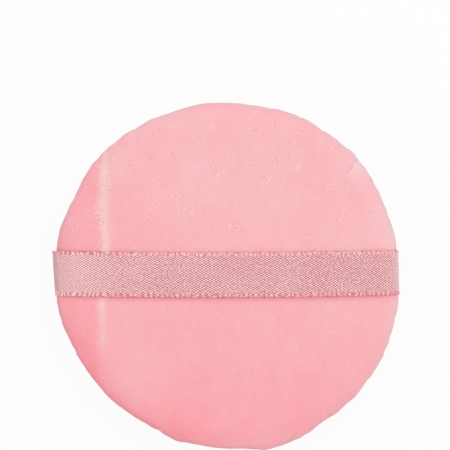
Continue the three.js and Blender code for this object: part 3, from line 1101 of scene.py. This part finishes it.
tucked = velour.attribute("tucked")
at_tuck = {"Vector": place, "Location": TUCK_PLACE, "Rotation": (0, 0, TUCK_TURN)}
tuck_place = velour.node("ShaderNodeMapping", {"vector_type": "TEXTURE"}, **at_tuck)
inwards, beside = velour.parts(tuck_place, ("X", "Y"))
beside = beside + patches * TUCK_WAVER
line = velour.stretch(abs(beside), *LINE_WIDTH) * velour.stretch(abs(inwards + LINE_SHIFT), *LINE_LENGTH)
slope = velour.stretch(beside, *SLOPE_START) * velour.stretch(beside, *SLOPE_END)
lit = slope * velour.stretch(inwards, *SLOPE_LENGTH)
colour = velour.mix(lit * tucked * LIT_SHARE, colour, LIT_NAP)
colour = velour.mix(line * tucked * LINE_SHARE, colour, LINE_SHADE)
velour.tell("With the tuck")

# %% Painted shadow along the ribbon, the bloom of the pile with painted shade and sheen round the rim, and the pile
RIBBON_SHADOW_SHARE, RIBBON_SHADOW_PINK = 0.5, srgb(250, 152, 166)
EDGE_ON, BLOOM_AND_SHADE_SHARE = (0.6, 0.05), 0.5
RIM_LIT_SIDE, RIM_LIT_LEVELS = Vector((0.68, 0.73, 0.0)), (-0.9, 0.3)
RIM_PAINTED_SHADE = srgb(146, 116, 126)
RIM_PAINTED_SHEEN = srgb(206, 198, 202)
PILE, PILE_PATCHES = (1500, 3.0, 0.6), 0.5
PILE_BUMP, PILE_DEPTH = 0.35, 0.3 * MM

# A painted shadow below the lower edge of the ribbon.
colour = velour.mix(velour.attribute("parted") * RIBBON_SHADOW_SHARE, colour, RIBBON_SHADOW_PINK)
# Round the rim, where the surface is seen edge-on from above: the greyish bloom of the pile, with painted
# shade on the side away from the lamp and a painted sheen on the side towards it.
edge_on = velour.stretch(abs(velour.parts(normal, "Z")), *EDGE_ON)
to_light = velour.stretch(velour.dot(normal, RIM_LIT_SIDE), *RIM_LIT_LEVELS)
colour = velour.mix(edge_on * BLOOM_AND_SHADE_SHARE, colour, velour.mix(to_light, RIM_PAINTED_SHADE, RIM_PAINTED_SHEEN))
pile = velour.noise(place, *PILE) + patches * PILE_PATCHES
velour.cover(colour, pile, PILE_BUMP, PILE_DEPTH)

# %% [markdown]
# ## Ribbon, thread and filling finishes
# The ribbon is a plain weave of shiny yarn, seen as rows of small pale dots with darker gaps. Yarns as
# meshes would be too many, so two waves stand for them: their product is high where one yarn crosses over
# the other. They are laid in the ribbon's own UV map, in metres, so the rows follow it round the rim.
# Foam shows open cells and wadding a tangle of pale fibres, and each needs only one texture.

# %% Two yarns that cross
WARP_PITCH = 1.12 * MM  # along the ribbon
WEFT_PITCH = 0.68 * MM  # across it
SLIP, WARP_SLIP, WEFT_SLIP = (450, 2.0), 4.0, 1.0

ribbon = PieceFinish("ribbon", {})
uv = ribbon.coordinates("UV")
along, across = ribbon.parts(uv, ("X", "Y"))
turned = ribbon.parts(ribbon.coordinates("Normal"), "X")
slip = ribbon.ripple(uv, *SLIP)
warp = (along * (FULL_TURN / WARP_PITCH) + slip * WARP_SLIP).math("SINE")
weft = (across * (FULL_TURN / WEFT_PITCH) + slip * WEFT_SLIP).math("SINE")
over = warp * weft
ribbon.tell("Weave")

# %% The tone of the weave with painted light along it, and the folds at both ends with painted shade and a painted highlight
SHADES, FLECKS = (90, 3.0), (1800, 1.0)
# Painted light: the ribbon is paler and its weave sharper towards the left end, and it grows deeper towards
# the right end.
LIT_LEFT_END = (-30 * MM, -42 * MM)  # towards the left end
EVEN_TONE, PAINTED_LIGHT_FALL = 0.33, 1.2  # it falls by this much in a metre
YARN_TONE, YARN_TONE_LIT_END, LIT_END_TONE = 1.15, 1.2, 0.15
SHADE_TONE, FLECK_TONE, PAINTED_SIDE_LIGHT = 0.4, 2.2, 0.25
WEAVE_STOPS = [(0.0, srgb(192, 114, 124)), (0.5, srgb(250, 174, 180)), (1.0, srgb(255, 226, 226))]
LIT_END_SHARE, LIT_END_PINK = 0.15, srgb(255, 192, 190)
# Each fold: the tilt at which it sets in and is full, its share and its colour. The left fold is painted
# shade, the right fold a painted highlight.
FOLD_SHADE_AND_LIGHT = [((-0.78, -0.9), 0.7, srgb(202, 150, 162)), ((0.8, 0.96), 0.5, srgb(232, 204, 212))]

fleck = ribbon.ripple(uv, *FLECKS)
lit_left_end = ribbon.stretch(along, *LIT_LEFT_END)
yarn = over * (YARN_TONE + lit_left_end * YARN_TONE_LIT_END) + EVEN_TONE - along * PAINTED_LIGHT_FALL
mottle = ribbon.ripple(uv, *SHADES) * SHADE_TONE + fleck * FLECK_TONE
# The tone is painted lighter where the ribbon turns to face right and darker where it turns to face left.
tone = yarn + mottle + lit_left_end * LIT_END_TONE + turned * abs(turned) * PAINTED_SIDE_LIGHT
colour = ribbon.mix(lit_left_end * LIT_END_SHARE, ribbon.ramp(tone, WEAVE_STOPS), LIT_END_PINK)
for tilts, amount, shade in FOLD_SHADE_AND_LIGHT:
    colour = ribbon.mix(ribbon.stretch(turned, *tilts) * amount, colour, shade)
ribbon.tell("With its tone and folds")

# %% Loops of the selvedge
WANDER, WANDER_TURN = (300, 2.0), 14.0
LOOP_EVEN, LOOP_TONE, LOOP_TONE_LIT_END, LOOP_FLECK = 0.45, 0.28, 0.26, 2.4
# The loops are painted lighter along the upper edge and darker along the lower edge, less so at the left
# end.
LOOP_LIGHT_RISE, LOOP_LIGHT_RISE_LIT_END = 18.0, 22.0  # across the ribbon, to the metre
LOOP_STOPS = [(0.0, srgb(202, 120, 131)), (0.5, srgb(250, 163, 172)), (1.0, srgb(255, 222, 219))]
SELVEDGE_LEAN, SELVEDGE_BLUR, SELVEDGE_SHARE = 0.15 * MM, 0.15 * MM, 0.85
YARN_ROUGHNESS, ROUGHNESS_SWING = 0.62, 0.12
WEAVE_BUMP, WEAVE_DEPTH = 0.5, 0.08 * MM

loop = (along * (FULL_TURN / BEAD_PITCH) + ribbon.ripple(uv, *WANDER) * WANDER_TURN).math("SINE")
lit_across = across * (LOOP_LIGHT_RISE - lit_left_end * LOOP_LIGHT_RISE_LIT_END)
loop_tone = loop * (LOOP_TONE + lit_left_end * LOOP_TONE_LIT_END) + fleck * LOOP_FLECK + LOOP_EVEN + lit_across
edge_start = ribbon_width / 2 - SELVEDGE_WIDTH - SELVEDGE_LEAN
edge = ribbon.stretch(abs(across - SELVEDGE_LEAN), edge_start, edge_start + SELVEDGE_BLUR)
colour = ribbon.mix(edge * SELVEDGE_SHARE, colour, ribbon.ramp(loop_tone, LOOP_STOPS))
ribbon.feed(ribbon.surface["Roughness"], YARN_ROUGHNESS - over * ROUGHNESS_SWING)
ribbon.cover(colour, over, WEAVE_BUMP, WEAVE_DEPTH)

# %% Sewing thread, foam and wadding
# Each has a texture with its sockets, and the strength and distance of its bump.
TEXTURES = {
    "thread": ("ShaderNodeTexNoise", {"Scale": 4000.0, "Detail": 2.0}, 0.4, 0.05 * MM),
    "foam": ("ShaderNodeTexVoronoi", {"Scale": 1300.0}, 0.6, 0.3 * MM),
    "wadding": ("ShaderNodeTexNoise", {"Scale": 700.0, "Detail": 4.0, "Distortion": 3.0}, 0.6, 0.5 * MM),
}
ROUGHNESSES = {"thread": 0.6, "foam": 0.95, "wadding": 1.0}
COLOURS = {
    "thread": (srgb(226, 140, 152), srgb(246, 186, 194)),
    "foam": (srgb(214, 204, 178), srgb(248, 243, 228)),
    "wadding": (srgb(226, 224, 218), srgb(252, 251, 248)),
}


def plain_finish(name):
    finish = PieceFinish(name, {"Roughness": ROUGHNESSES[name]})
    kind, sockets, strength, distance = TEXTURES[name]
    texture = finish.node(kind, None, Vector=finish.coordinates("Object"), **sockets)
    finish.cover(finish.mix(texture, *COLOURS[name]), texture, strength, distance)
    return finish


thread, foam, wadding = (plain_finish(name) for name in TEXTURES)

# %% [markdown]
# ## Pieces, bodies and cloth
# Each piece is given its finish under a slot name, the CAD nodes that it stands for are hidden, and each
# piece but the ribbon is attached to the body that it moves with. The ribbon crosses the joint. In three
# pieces, as in the CAD model, it would part when the strap lifts, so it is one piece: its ends lie in the
# seam, and its place is baked into its points.

# %% Dress each piece
finishes = {"velour": velour, "ribbon": ribbon, "thread": thread, "foam": foam, "wadding": wadding}


def dress(piece, slot, *nodes):
    piece.data.materials.clear()
    piece.data.materials.append(finishes[slot].material)
    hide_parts(*nodes)
    print(f"{piece.name}: {slot}, in place of {', '.join(nodes)}")


dress(velour_back, "velour", "back_cover")
dress(velour_face, "velour", "face_cover")
dress(foam_disc, "foam", "foam_core")
dress(back_filling, "wadding", "back_wadding")
dress(face_filling, "wadding", "face_wadding")
dress(woven_ribbon, "ribbon", "ribbon_strap", "right_ribbon_end", "left_ribbon_end")
dress(needle_stitches, "thread", "rim_needle_thread")
dress(bobbin_stitches, "thread", "rim_bobbin_thread")
dress(closing_stitches, "thread", "closing_thread")

# %% Let each piece but the ribbon move with its body
stuffing = (foam_disc, back_filling, face_filling)
riders = (velour_back, velour_face, needle_stitches, bobbin_stitches, closing_stitches, *stuffing)
for piece in riders:
    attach(piece, "puff")
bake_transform(woven_ribbon)
print(f"{len(riders)} pieces move with the puff, and the ribbon bends between puff and strap")

# %% [markdown]
# ## Studio
# The puff lies on white paper and is seen from straight above, so the camera looks down with a long lens.
# An even white sky gives nearly all the light, and a wide soft lamp at the upper right a little direction:
# together they light a flat surface about as its colour says. One bright lamp would wash out the pink. The
# paper also glows white to the camera, so that it stays white and still takes a faint shadow.

# %% Camera straight above
IMAGE_SIZE = 450  # pixels
PUFF_MIDDLE = (228.65, 275.8)  # where it lies in the picture, from the top left
PUFF_RADIUS_PIXELS = 173.95
CAMERA_DISTANCE = 1.2
SENSOR_WIDTH = 36
CLIP_START = 0.01

pixel = rim_radius / PUFF_RADIUS_PIXELS
camera_data = bpy.data.cameras.new("Camera")
camera = bpy.data.objects.new("Camera", camera_data)
bpy.context.scene.collection.objects.link(camera)
camera.location = (
    (IMAGE_SIZE / 2 - PUFF_MIDDLE[0]) * pixel,
    (PUFF_MIDDLE[1] - IMAGE_SIZE / 2) * pixel,
    seam_z + CAMERA_DISTANCE,
)
camera_data.sensor_width = SENSOR_WIDTH
camera_data.lens = SENSOR_WIDTH * CAMERA_DISTANCE / (IMAGE_SIZE * pixel)
camera_data.clip_start = CLIP_START
bpy.context.scene.camera = camera
print(f"Camera: {camera_data.lens:.0f} mm lens, {IMAGE_SIZE * pixel / MM:.1f} mm across the picture")

# %% White paper floor
FLOOR_SIZE = 6
FLOOR_DROP = 0.05 * MM
FLOOR_GLOW = 0.9
PAPER = (0.95, 0.95, 0.95, 1.0)
WHITE = (1.0, 1.0, 1.0, 1.0)


def seen_directly(finish):
    """1 for rays from the camera, and for rays that a glossy or clear surface sends on."""
    wanted = ("Is Camera Ray", "Is Glossy Ray", "Is Transmission Ray")
    camera_ray, glossy, through = finish.node("ShaderNodeLightPath", output=wanted)
    return camera_ray.math("MAXIMUM", glossy).math("MAXIMUM", through)


white_paper = bpy.data.materials.new("white_paper")
white_paper.use_nodes = True
white_paper.node_tree.nodes.clear()
paper = Finish(white_paper.node_tree)
matt = paper.node("ShaderNodeBsdfDiffuse", None, PAPER)
glow = paper.node("ShaderNodeEmission", None, WHITE, 1.0)
both = paper.node("ShaderNodeMixShader", None, seen_directly(paper) * FLOOR_GLOW, matt, glow)
paper.node("ShaderNodeOutputMaterial", None, both)

bpy.ops.object.select_all(action="DESELECT")
bpy.ops.mesh.primitive_plane_add(size=FLOOR_SIZE, location=(0, 0, -FLOOR_DROP))
floor = bpy.context.object
floor.name = "paper_floor"
floor.data.materials.append(white_paper)
floor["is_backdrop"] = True
print(f"{floor.name}: {FLOOR_SIZE} m square")

# %% Even sky and one soft lamp
SKY_LIGHT = 0.92
KEY_LIGHT = 0.08
KEY_PLACE = Vector((0.5, 0.9, 1.2))
KEY_SIZE = 1.0

world = bpy.data.worlds.new("studio")
bpy.context.scene.world = world
world.use_nodes = True
world.node_tree.nodes.clear()
sky = Finish(world.node_tree)
strength = seen_directly(sky) * (1 - SKY_LIGHT) + SKY_LIGHT
sky.node("ShaderNodeOutputWorld", None, sky.node("ShaderNodeBackground", None, WHITE, strength))

key_data = bpy.data.lights.new("soft_key", "AREA")
key = bpy.data.objects.new("soft_key", key_data)
bpy.context.scene.collection.objects.link(key)
key.location = KEY_PLACE
key.rotation_euler = (-KEY_PLACE).to_track_quat("-Z", "Y").to_euler()
key_data.size = KEY_SIZE
# The power that lights a flat surface at the origin by KEY_LIGHT of what a full white sky would.
key_data.energy = math.pi**2 * KEY_LIGHT * KEY_PLACE.length**3 / KEY_PLACE.z
bpy.context.scene.view_settings.view_transform = "Standard"
print(f"Soft lamp {key_data.energy:.1f} W at {KEY_PLACE.length:.2f} m")

# %% [markdown]
# ## Finish
# The box of the dressed model is printed beside the CAD box, so that the two can be compared.

boxes = {"cad": cad_box, "visual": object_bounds()}
for name, (low, high) in boxes.items():
    print(f"{name}: {', '.join(f'{(b - a) / MM:.1f}' for a, b in zip(low, high))} mm")
